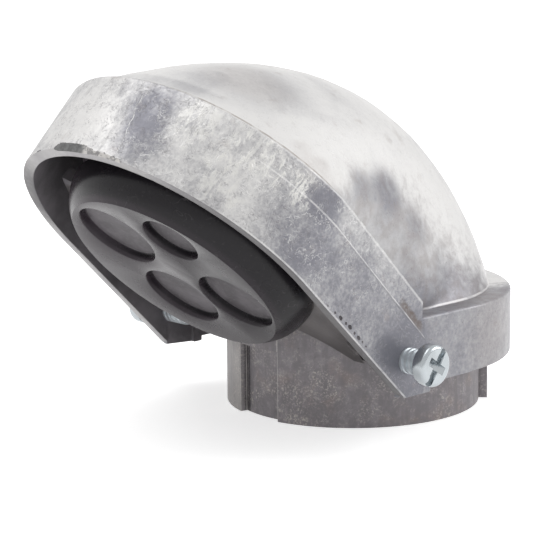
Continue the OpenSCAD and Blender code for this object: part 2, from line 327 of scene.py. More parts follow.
class Nodes:
    """Short way to add shader nodes to one material and join them."""

    def __init__(self, name):
        self.material = bpy.data.materials.new(name)
        self.material.use_nodes = True
        self.tree = self.material.node_tree
        self.tree.nodes.clear()
        self.output = self.add("ShaderNodeOutputMaterial")
        self.shader = self.add("ShaderNodeBsdfPrincipled")
        self.tree.links.new(self.shader.outputs[0], self.output.inputs["Surface"])
        self.place = self.add("ShaderNodeTexCoord").outputs["Object"]

    def add(self, kind, **settings):
        node = self.tree.nodes.new(kind)
        for key, value in settings.items():
            setattr(node, key, value)
        return node

    def feed(self, socket, value):
        if isinstance(value, bpy.types.NodeSocket):
            self.tree.links.new(value, socket)
        else:
            socket.default_value = value

    def noise(self, scale, detail=4, rough=0.55, warp=0.0, place=None, seed=0.0):
        node = self.add("ShaderNodeTexNoise", noise_dimensions="4D")
        self.feed(node.inputs["Vector"], place or self.place)
        node.inputs["W"].default_value = seed
        node.inputs["Scale"].default_value = scale
        node.inputs["Detail"].default_value = detail
        node.inputs["Roughness"].default_value = rough
        node.inputs["Distortion"].default_value = warp
        return node.outputs["Fac"]

    def stretched(self, scale):
        """The place with X, Y and Z scaled."""
        node = self.add("ShaderNodeMapping")
        self.feed(node.inputs["Vector"], self.place)
        node.inputs["Scale"].default_value = scale
        return node.outputs["Vector"]

    def spread(self, value, low, high, to_low=0.0, to_high=1.0):
        """Maps low to high onto to_low to to_high, smoothly and within those limits."""
        node = self.add("ShaderNodeMapRange", interpolation_type="SMOOTHSTEP")
        for socket, number in zip(node.inputs[:5], (value, low, high, to_low, to_high)):
            self.feed(socket, number)
        return node.outputs["Result"]

    def sum(self, operation, a, b):
        node = self.add("ShaderNodeMath", operation=operation)
        self.feed(node.inputs[0], a)
        self.feed(node.inputs[1], b)
        return node.outputs[0]

    def plus(self, *values):
        return functools.reduce(lambda a, b: self.sum("ADD", a, b), values)

    def times(self, *values):
        return functools.reduce(lambda a, b: self.sum("MULTIPLY", a, b), values)

    def either(self, a, b):
        return self.sum("MAXIMUM", a, b)

    def at_most(self, value, limit):
        return self.sum("MINIMUM", value, limit)

    def size(self, value):
        return self.sum("ABSOLUTE", value, 0.0)

    def rest(self, value):
        """What is left of 1."""
        return self.sum("SUBTRACT", 1.0, value)

    def along(self, direction, start=Vector((0, 0, 0))):
        """Distance from a start point, measured along a direction."""
        node = self.add("ShaderNodeVectorMath", operation="DOT_PRODUCT")
        self.feed(node.inputs[0], self.place)
        node.inputs[1].default_value = direction
        return self.sum("SUBTRACT", node.outputs["Value"], start.dot(direction))

    def distance(self, place, point):
        node = self.add("ShaderNodeVectorMath", operation="DISTANCE")
        self.feed(node.inputs[0], place)
        node.inputs[1].default_value = point
        return node.outputs["Value"]

    def near(self, point, inner, outer, wobble=None, reach=0.0):
        """1 within inner of a point, 0 past outer, its edge broken up by wobble times reach."""
        distance = self.distance(self.place, point)
        if wobble is not None:
            distance = self.warped(distance, wobble, reach)
        return self.spread(distance, inner, outer, 1.0, 0.0)

    def warped(self, value, wobble, reach):
        """A value shifted up and down by half of reach."""
        return self.plus(value, self.times(self.sum("SUBTRACT", wobble, 0.5), reach))

    def ribbon(self, value, middle, half, soft):
        """1 where a value lies within half of the middle, fading out over soft."""
        off = self.size(self.sum("SUBTRACT", value, middle))
        return self.spread(off, half, half + soft, 1.0, 0.0)

    def strokes(self, scale, width, warp, place=None, seed=0.0):
        """Thin broken squiggles, 1 on the line."""
        line = self.ribbon(self.noise(scale, 2, 0.5, warp, place, seed), 0.5, 0.0, width)
        gaps = self.noise(scale * 0.6, 2, 0.5, seed=seed + 5)
        return self.times(line, self.spread(gaps, 0.42, 0.58))

    def hairline(self, start, end, facing, wobble):
        """A fine scratch from start to end over a surface that faces this way."""
        run = end - start
        across = run.cross(facing).normalized()
        off = self.warped(self.along(across, start), wobble, 1.6 * MM)
        line = self.ribbon(off, 0.0, 0.03 * MM, 0.08 * MM)
        return self.times(line, self.near((start + end) / 2, run.length * 0.45, run.length * 0.55))

    def upright(self, angle, sunk, inner, outer):
        """1 along a vertical line on the hub, at an angle round Z and so far below its surface."""
        radius = HUB_RADIUS - sunk
        line = (radius * math.cos(angle), radius * math.sin(angle), 0)
        return self.spread(self.distance(self.stretched((1, 1, 0)), line), inner, outer, 1.0, 0.0)

    def tones(self, table, wobble, reach):
        """Sum of the amounts of a table's places, each with a soft and broken edge."""
        total = 0.0
        for place, inner, outer, amount in table:
            here = self.near(Vector(place) * MM, inner * MM, outer * MM, wobble, reach)
            total = self.plus(total, self.times(here, amount))
        return total

    def in_mouth_frame(self, across=1.0, up=1.0, out=1.0):
        """The place as across, up the rim's plane and out of the mouth, each scaled."""
        node = self.add("ShaderNodeCombineXYZ")
        for socket, direction, factor in zip(node.inputs, (ACROSS, UP_RIM, OUT), (across, up, out)):
            self.feed(socket, self.times(self.along(direction, RING_TOP), factor))
        return node.outputs[0]

    def blend(self, factor, a, b):
        node = self.add("ShaderNodeMix", data_type="RGBA")
        self.feed(node.inputs["Factor"], factor)
        for socket, value in ((node.inputs[6], a), (node.inputs[7], b)):
            self.feed(socket, value if isinstance(value, bpy.types.NodeSocket) else (*value, 1.0))
        return node.outputs[2]

    def shaded(self, colour, pattern, low, high, first, last):
        """A colour that changes from its first to its last shade as a pattern goes from low to high."""
        return self.blend(self.spread(pattern, low, high), shade(colour, first), shade(colour, last))

    def bump(self, height, distance, strength=1.0, below=None):
        node = self.add("ShaderNodeBump")
        self.feed(node.inputs["Height"], height)
        node.inputs["Distance"].default_value = distance
        node.inputs["Strength"].default_value = strength
        if below is not None:
            self.feed(node.inputs["Normal"], below)
        return node.outputs["Normal"]

    def finish(self, base, roughness, normal=None, **fixed):
        self.feed(self.shader.inputs["Base Color"], base)
        self.feed(self.shader.inputs["Roughness"], roughness)
        if normal is not None:
            self.feed(self.shader.inputs["Normal"], normal)
        for key, value in fixed.items():
            self.shader.inputs[key.replace("_", " ")].default_value = value
        return self.material


class HoodPlaces:
    """Where on the hood a point lies: its measures, and 0 to 1 for each region."""

    def __init__(self, n, clouds, mottle):
        self.height = n.along(UPWARD)
        self.back = n.along(REARWARD)
        self.right = n.along(ACROSS)
        self.sideways = n.size(self.right)
        self.out = n.along(OUT, RING_TOP)
        on_band = n.spread(self.out, BAND_BACK - 0.5 * MM, BAND_BACK)
        self.band = n.times(on_band, n.spread(self.back, EAR_BACK + 0.9 * MM, EAR_BACK + 0.3 * MM))
        self.ring = n.times(n.spread(self.height, 23.25 * MM, 22.6 * MM), n.rest(self.band))
        # The side of the dome below its crown, which gets painted shade
        shaded_flank = n.times(n.spread(n.warped(self.sideways, mottle, 8 * MM), 19 * MM, 26 * MM),
                        n.spread(n.warped(self.height, clouds, 16 * MM), 54 * MM, 47 * MM))
        self.shaded_flank = n.times(shaded_flank, n.rest(n.either(self.band, self.ring)))
        # Painted shadow in the valley between the band's back edge and the dome
        shadow_behind_band = n.times(n.ribbon(self.out, 5.6 * MM, 0.8 * MM, 1.6 * MM),
                              n.spread(self.right, 20 * MM, 12 * MM))
        self.shadow_behind_band = n.times(shadow_behind_band, n.spread(self.height, 28 * MM, 38 * MM))
        # Painted shade over the back of the dome
        self.rear = n.times(n.spread(n.warped(self.back, clouds, 16 * MM), -2 * MM, 20 * MM),
                            n.times(n.rest(self.shaded_flank), n.spread(self.height, 23.6 * MM, 24.6 * MM)))


def hood_dullness_and_shade(n, at, clouds, mottle, grain, coarse):
    """How far the metal is from bright, at 0, to dull, at about 1, painted shade included."""
    dullness_and_shade = n.plus(
        n.spread(clouds, 0.42, 0.66, -0.03, 0.17),
        n.tones(HOOD_CLOUDS_AND_PAINTED_LIGHT, mottle, 6 * MM),
        # The lower band and the ring darker, partly their own colour and partly painted shade; painted
        # shade on the dome's sides, behind the band and at the back
        n.times(at.band, n.spread(at.height, 46 * MM, 26 * MM, 0.34, 0.74)),
        n.times(at.ring, 0.72),
        n.times(at.shaded_flank, n.spread(at.height, 34 * MM, 25 * MM, 0.5, 0.85)),
        n.times(at.shadow_behind_band, 0.25),
        n.times(at.rear, 0.26))
    skin = n.plus(0.25, n.plus(n.times(at.band, 0.75), n.times(at.ring, 0.35)))
    return n.plus(dullness_and_shade, n.times(coarse, n.spread(mottle, 0.3, 0.7, -0.13, 0.13)),
                  n.times(skin, n.spread(grain, 0.3, 0.7, -0.12, 0.12)))


def brown_marks(n, base, at, dullness_and_shade, mottle, grain, finish):
    """Brown traces, dirt and painted shade in the fold behind the ear, and dark specks."""
    stain = n.plus(n.tones(HOOD_STAINS, mottle, 8 * MM),
                   n.times(n.spread(n.noise(210, 4, 0.65, seed=2.0), 0.58, 0.72), 0.22),
                   n.times(at.shaded_flank, n.spread(mottle, 0.4, 0.62, 0.0, 0.22)))
    base = n.blend(n.at_most(stain, 0.8), base, finish.hood_brown)
    # Dirt and painted shade along the fold at the front of the strip behind the ear
    behind_ear = n.warped(at.out, grain, 1.2 * MM)
    grime_and_shade = n.times(n.ribbon(behind_ear, STRIP_FRONT - 0.8 * MM, 0.4 * MM, 0.8 * MM),
                    n.near(Vector((32.3, -17.4, 24.6)) * MM, 2.6 * MM, 5.6 * MM, mottle, 2 * MM))
    base = n.blend(n.times(grime_and_shade, n.spread(grain, 0.3, 0.6, 0.4, 0.9)), base, (0.13, 0.10, 0.085))
    specks = n.spread(n.noise(2300, 3, 0.6, seed=6.0), 0.62, 0.70)
    specks = n.times(specks, n.spread(dullness_and_shade, 0.2, 0.7, 0.1, 0.6))
    return n.blend(specks, base, (0.16, 0.13, 0.12))


def edge_shade_wear_and_highlights(n, base, at, mottle):
    """Painted shade with a brown tint in the crease behind the band, and bright lines along the edges of
    band, strips and dome, partly wear and partly painted highlight.
    """
    # Painted shade, with a brown dirty tint, where the dome meets the band's back edge
    crease = n.times(n.ribbon(at.out, BAND_BACK - 0.7 * MM, 0.1 * MM, 0.2 * MM),
                     n.spread(mottle, 0.38, 0.60, 0.15, 0.65))
    base = n.blend(n.times(crease, n.spread(at.height, 44 * MM, 50 * MM)), base, (0.22, 0.17, 0.14))
    # Painted highlight along the rounded back edge of the band's right side
    lip_highlight = n.times(n.ribbon(at.out, BAND_BACK + 0.2 * MM, 0.1 * MM, 0.2 * MM),
                  n.times(n.spread(at.right, 24 * MM, 28 * MM), at.band))
    base = n.blend(n.times(lip_highlight, 0.35), base, WEAR_AND_HIGHLIGHT_BRIGHT)
    # Bright lines along the strips' fronts, the rim's edge and the dome's foot: partly wear, partly
    # painted highlight
    arms = n.times(at.band, n.spread(at.sideways, 24 * MM, 30 * MM))
    strip = n.ribbon(at.out, STRIP_FRONT + 0.15 * MM, 0.08 * MM, 0.15 * MM)
    rim = n.ribbon(at.out, RIM_REACH - 0.2 * MM, 0.1 * MM, 0.15 * MM)
    wear_and_highlight = n.times(n.either(strip, rim), arms)
    foot = n.times(n.ribbon(at.height, 23.35 * MM, 0.1 * MM, 0.15 * MM), n.rest(at.band))
    wear_and_highlight = n.times(n.either(wear_and_highlight, foot), n.spread(mottle, 0.35, 0.55, 0.15, 0.5))
    return n.blend(wear_and_highlight, base, WEAR_AND_HIGHLIGHT_BRIGHT)


def tumbled_casting(finish):
    """Bright die-cast metal with blue-grey clouds, a fine crinkled skin, pale crusts and brown traces,
    with painted shade and highlights.
    """
    n = Nodes("tumbled_casting")
    clouds = n.noise(60, 5, 0.6, 0.4)
    mottle = n.noise(330, 5, 0.62, 0.3)
    grain = n.noise(1400, 4, 0.65)
    at = HoodPlaces(n, clouds, mottle)
    coarse = n.plus(0.25, n.times(at.band, n.spread(at.height, 22 * MM, 44 * MM, 0.1, 0.75)))
    dullness_and_shade = hood_dullness_and_shade(n, at, clouds, mottle, grain, coarse)
    base = n.blend(n.spread(dullness_and_shade, 0.0, 1.05), finish.hood_bright, finish.hood_dull_and_shade)

    dark_lines = n.times(n.strokes(700, 0.035, 1.2, seed=3.0), coarse)
    base = n.blend(n.times(dark_lines, 0.5), base, (0.20, 0.19, 0.20))
    pale_lines = n.times(n.strokes(560, 0.03, 1.6, seed=8.0), coarse)
    base = n.blend(n.times(pale_lines, 0.45), base, (0.88, 0.87, 0.86))

    combed = n.noise(620, 4, 0.7, 0.8, n.in_mouth_frame(1.0, 1.0, 0.35))
    crust = n.times(n.tones(HOOD_CRUSTS, mottle, 10 * MM), n.spread(combed, 0.46, 0.58))
    base = n.blend(n.at_most(crust, 1.0), base, (0.80, 0.79, 0.76))
    base = brown_marks(n, base, at, dullness_and_shade, mottle, grain, finish)
    base = edge_shade_wear_and_highlights(n, base, at, mottle)
    scratch = n.times(n.hairline(*HOOD_SCRATCH, n.noise(500, 2, 0.5)), n.spread(grain, 0.4, 0.55))
    base = n.blend(n.times(scratch, 0.7), base, (0.90, 0.90, 0.88))

    relief = n.sum("SUBTRACT", n.times(pale_lines, 0.6), n.times(dark_lines, 0.8))
    relief = n.plus(relief, n.times(crust, 1.2), scratch)
    normal = n.bump(grain, 0.05 * MM, 0.6)
    normal = n.bump(mottle, 0.16 * MM, 0.5, normal)
    normal = n.bump(relief, 0.05 * MM, 0.8, normal)
    return n.finish(base, n.spread(mottle, 0.3, 0.7, 0.36, 0.5), normal, Metallic=0.4)


def torn_metal(finish):
    """Rough grey metal of the broken-off gate."""
    n = Nodes("torn_metal")
    grain = n.noise(900, 5, 0.7)
    torn = n.spread(n.along(ACROSS), 1.0 * MM, 2.5 * MM)
    lumps = n.times(torn, n.spread(n.noise(1100, 3, 0.5, 1.0, seed=4.0), 0.45, 0.55))
    base = n.shaded(finish.torn_grey, grain, 0.35, 0.7, 0.7, 1.4)
    base = n.blend(n.times(torn, 0.75), base, (0.36, 0.35, 0.35))
    base = n.blend(lumps, base, (0.62, 0.60, 0.58))
    return n.finish(base, 0.5, n.bump(n.plus(grain, lumps), 0.1 * MM, 0.8), Metallic=0.5)


def rim_metal():
    """Trimmed face of the rim: light, dull and finely scratched."""
    n = Nodes("rim_metal")
    grain = n.noise(600, 4, 0.6)
    clouds = n.noise(90, 3)
    base = n.blend(n.spread(clouds, 0.35, 0.65), (0.44, 0.43, 0.43), (0.33, 0.32, 0.33))
    base = n.blend(n.spread(grain, 0.55, 0.7, 0, 0.5), base, (0.62, 0.61, 0.60))
    # Darker at the top left, and darker on the right arm as painted shade
    darkened = n.plus(n.near(Vector((-28.8, -58.9, 46)) * MM, 5 * MM, 17 * MM, clouds, 4 * MM),
                   n.spread(n.along(ACROSS), 14 * MM, 30 * MM))
    base = n.blend(n.times(n.at_most(darkened, 1.0), 0.8), base, (0.13, 0.125, 0.13))
    normal = n.bump(grain, 0.06 * MM, 0.8)
    return n.finish(base, n.spread(grain, 0.3, 0.7, 0.4, 0.6), normal, Metallic=0.6)


def dark_inside(finish):
    """Inside of the hood, left as it came from the die and grimed, and dark partly as painted shade;
    pits, the ears' step fronts and the saddle arms' ends get it as painted shade.
    """
    n = Nodes("dark_inside")
    clouds = n.noise(110, 4)
    grain = n.noise(700, 4, 0.6)
    base = n.shaded(finish.inside_grey_and_shade, clouds, 0.35, 0.65, 1.0, 1.8)
    return n.finish(base, 0.6, n.bump(grain, 0.1 * MM, 0.8), Metallic=0.2, Specular_IOR_Level=0.3)


def weathered_casting(finish):
    """Grey, stained casting of the body with a fine stipple, upright streaks, a dark line by the channel
    and bright channel edges, partly painted highlight.
    """
    n = Nodes("weathered_casting")
    clouds = n.noise(85, 4, 0.6, 0.5)
    mottle = n.noise(420, 5, 0.65, 0.4)
    stipple = n.noise(2300, 3, 0.6, 0.6, seed=1.0)
    streaks = n.noise(700, 4, 0.6, 0.3, n.stretched((1, 1, 0.14)), 2.0)
    dark = finish.hub_dark
    base = n.shaded(dark, mottle, 0.36, 0.68, 0.84, 1.22)
    base = n.blend(n.spread(streaks, 0.40, 0.62, 0.0, 0.5), base, shade(dark, 0.74))
    brown = n.spread(n.noise(95, 4, 0.6, 0.4, seed=3.0), 0.50, 0.66)
    brown = n.times(brown, n.spread(mottle, 0.4, 0.6, 0.15, 0.5))
    base = n.blend(brown, base, finish.hub_brown)
    left = n.spread(n.along(ACROSS), -6.8 * MM, -7.6 * MM)
    base = n.blend(n.times(left, n.spread(streaks, 0.35, 0.6, 0.25, 0.85)), base, (0.44, 0.42, 0.41))
    patches = n.plus(n.spread(clouds, 0.45, 0.66, 0.0, 0.7), n.spread(mottle, 0.46, 0.68, 0.0, 0.5))
    pale = n.times(n.spread(stipple, 0.50, 0.62), patches)
    base = n.blend(n.at_most(pale, 0.8), base, finish.hub_light)
    pits = n.spread(n.noise(1700, 3, 0.6, seed=9.0), 0.64, 0.74, 0.0, 0.6)
    base = n.blend(pits, base, shade(dark, 0.4))

    # A dark line along the channel's left side
    darkened = n.either(n.upright(CHANNEL_LEFT, CHANNEL_SUNK, 0.1 * MM, 0.8 * MM),
                     n.upright(CHANNEL_LEFT + CHANNEL_HALF * 0.17, CHANNEL_SUNK, 0.15 * MM, 0.45 * MM))
    base = n.blend(n.times(darkened, n.spread(stipple, 0.35, 0.6, 0.95, 0.7)), base, (0.045, 0.042, 0.046))
    # Bright lines along the channel's edges: painted highlights, partly wear
    for angle, radius in ((CHANNEL_LEFT, HUB_RADIUS), (CHANNEL_LEFT, HUB_RADIUS - CHANNEL_SUNK * 0.9),
                          (CHANNEL_RIGHT, HUB_RADIUS)):
        wear_and_highlight = n.upright(angle, HUB_RADIUS - radius, 0.05 * MM, 0.2 * MM)
        base = n.blend(n.times(wear_and_highlight, n.spread(mottle, 0.3, 0.55, 0.3, 0.85)), base, (0.62, 0.60, 0.58))
    normal = n.bump(stipple, 0.06 * MM, 0.7)
    normal = n.bump(mottle, 0.15 * MM, 0.7, normal)
    return n.finish(base, n.spread(mottle, 0.3, 0.7, 0.5, 0.62), normal, Metallic=0.4)


def saddle_casting(finish):
    """Smooth dark face of the saddle, with a soft cloudy sheen."""
    n = Nodes("saddle_casting")
    clouds = n.noise(90, 4, 0.5)
    grain = n.noise(900, 4, 0.6)
    base = n.shaded(finish.saddle_grey, clouds, 0.35, 0.68, 1.0, 1.7)
    base = n.blend(n.spread(grain, 0.55, 0.72, 0.0, 0.35), base, (0.30, 0.29, 0.28))
    roughness = n.spread(clouds, 0.3, 0.7, 0.36, 0.46)
    return n.finish(base, roughness, n.bump(grain, 0.04 * MM, 0.6), Metallic=0.5)


def moulded_insulator(finish):
    """Dark satin moulding, its face dulled and dusty, lighter towards the left as painted reflection, and
    its side clean apart from a painted reflection at the upper left.
    """
    n = Nodes("moulded_insulator")
    clouds = n.noise(80, 4)
    grain = n.noise(1600, 3, 0.6)
    black, dust_and_reflection = finish.insulator_face, finish.insulator_dust_and_reflection
    face = n.spread(n.along(OUT, RING_TOP), INSULATOR_FACE - 1.2 * MM, INSULATOR_FACE - 0.4 * MM)
    # The upper-left side takes the face's dusty colour too, as painted reflection
    face = n.either(face, n.spread(n.along(ACROSS), -6 * MM, -20 * MM))
    # Lighter towards the left, partly dusty and partly painted reflection
    settled_and_reflection = n.spread(n.warped(n.along(ACROSS), clouds, 12 * MM), 14 * MM, -22 * MM, 0.45, 1.9)
    base = n.blend(n.times(face, settled_and_reflection), black, dust_and_reflection)
    base = n.blend(n.spread(grain, 0.58, 0.74, 0.0, 0.25), base, (0.10, 0.09, 0.095))
    scuffs = n.times(n.strokes(330, 0.012, 0.8, seed=12.0), n.spread(clouds, 0.45, 0.6, 0.0, 0.5))
    base = n.blend(scuffs, base, (0.16, 0.15, 0.155))
    normal = n.bump(grain, 0.02 * MM, 0.4)
    return n.finish(base, n.spread(clouds, 0.3, 0.7, 0.22, 0.32), normal, Metallic=0.0, IOR=1.5,
                    Specular_IOR_Level=0.26)


def dusty_moulding(finish):
    """Floors of the knockouts, rougher and dusty."""
    n = Nodes("dusty_moulding")
    clouds = n.noise(160, 4, 0.6, 0.5)
    grain = n.noise(1200, 4, 0.65)
    base = n.shaded(finish.insulator_floor, clouds, 0.38, 0.65, 0.75, 1.3)
    base = n.blend(n.spread(grain, 0.5, 0.7, 0.0, 0.5), base, (0.19, 0.175, 0.185))
    normal = n.bump(grain, 0.05 * MM, 0.6)
    return n.finish(base, 0.45, normal, Metallic=0.0, IOR=1.5, Specular_IOR_Level=0.3)


def zinc_plate(finish):
    """Smooth zinc plating with a faint green-blue cast."""
    n = Nodes("zinc_plate")
    clouds = n.noise(260, 3, 0.5)
    base = n.shaded(finish.zinc, clouds, 0.35, 0.7, 1.0, 0.88)
    roughness = n.spread(clouds, 0.3, 0.7, 0.16, 0.26)
    return n.finish(base, roughness, n.bump(clouds, 0.06 * MM, 0.6), Metallic=1.0)


def zinc_thread(finish):
    """The paler, duller plating on a screw's rolled thread."""
    n = Nodes("zinc_thread")
    grain = n.noise(900, 3, 0.5)
    zinc = tuple(min(1.0, c * 1.6) for c in finish.zinc)
    base = n.shaded(zinc, grain, 0.35, 0.7, 1.0, 0.8)
    return n.finish(base, 0.42, n.bump(grain, 0.03 * MM, 0.5), Metallic=0.6)


# Blue-grey clouds on the hood, mixed with painted shade and painted highlights: place, radius of the full
# effect, radius of its end, and how far it goes towards the dull blue-grey, or below zero back to the
# bright metal
HOOD_CLOUDS_AND_PAINTED_LIGHT = (
    ((10, -61.5, 65), 2, 7, 0.40),
    ((12, -66, 59.5), 2, 7, 0.42),
    ((-4, -65, 62), 4, 12, -0.30),
    ((20, -58, 61), 2, 8, -0.10),
    ((33.2, -46.5, 44.5), 5, 13, 0.34),
    ((33.4, -41, 48), 2, 6, 0.30),
    ((12, -40, 68), 6, 18, 0.36),
    ((15, -26, 64.5), 5, 16, 0.18),
    ((26, -36, 56), 4, 11, -0.30),
    ((28, -26, 49), 1, 6, 0.25),
    ((25, -17, 47), 2, 7, 0.30),
    ((25, -8, 39), 1, 6, 0.20),
    ((25, 0, 31), 1, 6, 0.15),
    ((34, -21, 18), 6, 11, 0.22),
    ((29, -53.3, 51.4), 3, 9, -0.14),
    ((33, -47.6, 43.2), 3, 8, 0.10),
    ((33.8, -36, 31.9), 4, 12, 0.12),
    ((26, -17, 44), 3, 9, 0.12),
)
# Pale crusts on the dome, and brown stains, each with the same four measures
HOOD_CRUSTS = (
    ((25, -53, 58), 1, 5, 1.0),
    ((29, -50, 55), 1, 5, 1.0),
    ((32, -46, 51), 1, 4, 0.9),
    ((19, -58, 62), 2, 7, 0.6),
    ((25.5, -59, 53), 2, 6, 0.7),
)
HOOD_STAINS = (
    ((11, -39, 68), 3, 12, 0.18),
    ((27, -41, 53), 2, 7, 0.22),
    ((30, 8, 17), 3, 14, 0.2),
)
# Pits and a nick in the rim's edge: place, width, and how far each is drawn out along the rim
RIM_PITS = (
    ((33.9, -41.6, 29.9), 0.5, 1.5), ((33.9, -39.8, 28.4), 0.6, 1.2), ((33.9, -38.4, 27.2), 0.8, 1.6),
    ((33.9, -37.0, 26.0), 0.7, 1.0), ((33.9, -36.0, 25.2), 0.9, 1.4), ((33.9, -34.9, 23.9), 0.6, 1.0),
    ((33.9, -33.9, 22.9), 0.8, 1.5), ((33.9, -32.8, 21.9), 0.5, 1.2), ((33.9, -31.9, 20.9), 0.4, 1.6),
    ((-12.2, -69.7, 55.9), 1.3, 1.0),
)
# The scratch over the dome's front: its start, its end, and the way the surface faces there
HOOD_SCRATCH = (Vector((7.0, -60.5, 66.6)) * MM, Vector((9.4, -68.5, 57.6)) * MM,
                Vector((0.25, -0.69, 0.68)))


# ---- hood ----

def hood_core(point):
    """Nearest point of the line from the hub's top to the middle of the mouth."""
    start = RING_TOP
    end = RING_TOP + OUT * 14 * MM + UP_RIM * 38 * MM
    along = (end - start)
    share = max(0.0, min(1.0, (point - start).dot(along) / along.length_squared))
    return start + along * share


def looks_inward(face):
    """The casting's inside, with the narrow front of the ears' inner step."""
    centre = face.calc_center_median()
    if abs(centre.x) > 31.4 * MM and (face.normal.x * centre.x > 0 or face.normal.dot(UP_RIM) > 0.8):
        return False
    # The lit front of the ears' inner step goes with the inside, as painted shade
    if face.normal.y < -0.7 and -17.6 * MM < centre.y < -16 * MM and centre.z < 23 * MM:
        return True
    return face.normal.dot((hood_core(centre) - centre).normalized()) > 0.25


def on_rim(point):
    return abs(in_mouth(point)[2] - RIM_REACH) < 0.1 * MM


def on_arch(angle, inward, behind):
    """Place at an angle round the arch, so far inside the band's surface and behind its rim."""
    radius = BAND_RADIUS - inward
    return RING_TOP + OUT * (RIM_REACH - behind) + Vector((radius * math.cos(angle), 0, 0)) \
        + UP_RIM * (ARCH_UP + radius * math.sin(angle))


def move_vertices(piece, place):
    """Moves every vertex to place(its coordinates), and turns the faces outwards."""
    with open_mesh(piece) as mesh:
        for vertex in mesh.verts:
            vertex.co = place(vertex.co)
        mesh.normal_update()
        bmesh.ops.recalc_face_normals(mesh, faces=mesh.faces)


def gate_cutter():
    """A curved ribbon that takes a facet off the rim's edge, smooth on the left and torn on the right."""
    focus()
    bpy.ops.mesh.primitive_grid_add(x_subdivisions=110, y_subdivisions=16, size=1)
    tool = bpy.context.object
    with edit_mode(tool):
        bpy.ops.mesh.extrude_region_move(TRANSFORM_OT_translate={"value": (0, 0, 1)})
    slope = math.hypot(GATE_TALL, GATE_DEEP)
    down, outward = (GATE_DEEP / slope, -GATE_TALL / slope), (-GATE_TALL / slope, -GATE_DEEP / slope)

    def place(point):
        share = point.x + 0.5
        angle = GATE_START - share * GATE_SWEEP
        full = min(1.0, share / 0.07) ** 0.5 * min(1.0, (1 - share) / 0.12) ** 0.5
        full *= 1.0 - 0.35 * min(1.0, max(0.0, share - 0.45) / 0.2)
        sunk = (full - 0.25) * GATE_TALL * GATE_DEEP / slope
        along = point.y * 2.6 * slope
        torn = min(1.0, max(0.0, share - 0.42) / 0.08)
        seed = Vector((share * 26, along / slope * 5, 0))
        sunk += torn * 0.22 * MM * noise.fractal(seed, 0.6, 2.2, 4) + 0.03 * MM * noise.noise(seed * 1.7)
        lift = point.z * 2.5 * MM - sunk
        return on_arch(angle, down[0] * along + outward[0] * lift, down[1] * along + outward[1] * lift)

    move_vertices(tool, place)
    return tool


def pit_cutter():
    """Small lumps that leave the casting pits and the nick along the rim's near edge."""
    lumps = []
    for place, size, stretch in RIM_PITS:
        focus()
        centre = Vector(place) * MM
        bpy.ops.mesh.primitive_ico_sphere_add(subdivisions=3, radius=size * MM / 2, location=centre)
        lump = bpy.context.object
        lump.scale = (1, 1, stretch)
        lump.rotation_euler.x = TILT
        settle(lump)
        move_vertices(lump, lambda p: centre + (p - centre) * (1 + 0.3 * noise.noise(p / (0.5 * MM))))
        lumps.append(lump)
    focus(*lumps)
    bpy.ops.object.join()
    return bpy.context.object


def strip_cutter(side):
    """A long wedge that sets the strip behind one ear back until it is level with the ring."""
    tool = box_tool((1, 1, 1), (0, 0, 0))
    rear = 5 * MM
    bottom, top = 6.4 * MM, 56 * MM
    level_low, level_high = 31.62 * MM, 34.05 * MM

    def place(point):
        up = bottom if point.y < 0 else top
        level = (level_low if point.y < 0 else level_high) if point.x < 0 else BAND_RADIUS + 3 * MM
        out = rear if point.z < 0 else STRIP_FRONT + (0.0 if point.x < 0 else 3.0 * MM)
        return RING_TOP + Vector((side * level, 0, 0)) + UP_RIM * up + OUT * out

    move_vertices(tool, place)
    round_edges(tool, lambda edge: both_ends(edge, lambda p: abs(p.x) < BAND_RADIUS + 1 * MM
                                             and in_mouth(p)[2] > 10 * MM), 1.4 * MM, 6)
    return tool


def in_pit(face):
    """The walls of the pits along the rim's edge, which get the dark inside as painted shade."""
    centre = face.calc_center_median()
    if in_mouth(centre)[2] > RIM_REACH - 0.05 * MM or abs(centre.x) > BAND_RADIUS - 0.05 * MM:
        return False
    return any((centre - Vector(place) * MM).length < size * stretch * 0.75 * MM
               for place, size, stretch in RIM_PITS)


def in_scar(face):
    across, up, out = in_mouth(face.calc_center_median())
    angle = math.degrees(math.atan2(up - ARCH_UP, across))
    inward = BAND_RADIUS - math.hypot(across, up - ARCH_UP)
    behind = RIM_REACH - out
    return 71 < angle < 102 and 0.03 * MM < inward < 1.6 * MM and 0.03 * MM < behind < 2.6 * MM \
        and face.calc_area() < 0.2 * MM * MM


def build_hood_shell(sizes, finish):
    piece = merged_copy("hood", "hood_casting")
    low = HOOD_LOW.z + 0.1 * MM
    ring_low = HOOD_LOW.z + 1.1 * MM

    def outer_corner(edge):
        if not sharp(edge) or not edge.is_convex:
            return False
        return both_ends(edge, on_rim) or both_ends(edge, lambda p: p.z < low) \
            or both_ends(edge, lambda p: abs(p.z - ring_low) < 0.15 * MM and p.y > EAR_BACK + 0.1 * MM)

    round_edges(piece, outer_corner, sizes.cast_edge)
    for cutter in (strip_cutter(1), strip_cutter(-1), gate_cutter(), pit_cutter()):
        cut(piece, cutter)
    soften(piece)
    dress(piece, tumbled_casting(finish), rim_metal(), dark_inside(finish), torn_metal(finish))
    give_faces(piece, 1, lambda face: all(on_rim(vertex.co) for vertex in face.verts))
    give_faces(piece, 2, looks_inward)
    give_faces(piece, 2, in_pit)
    give_faces(piece, 3, in_scar)
    keep_borders(piece)
    finish_piece(piece, "hood", "hood")


# ---- body ----

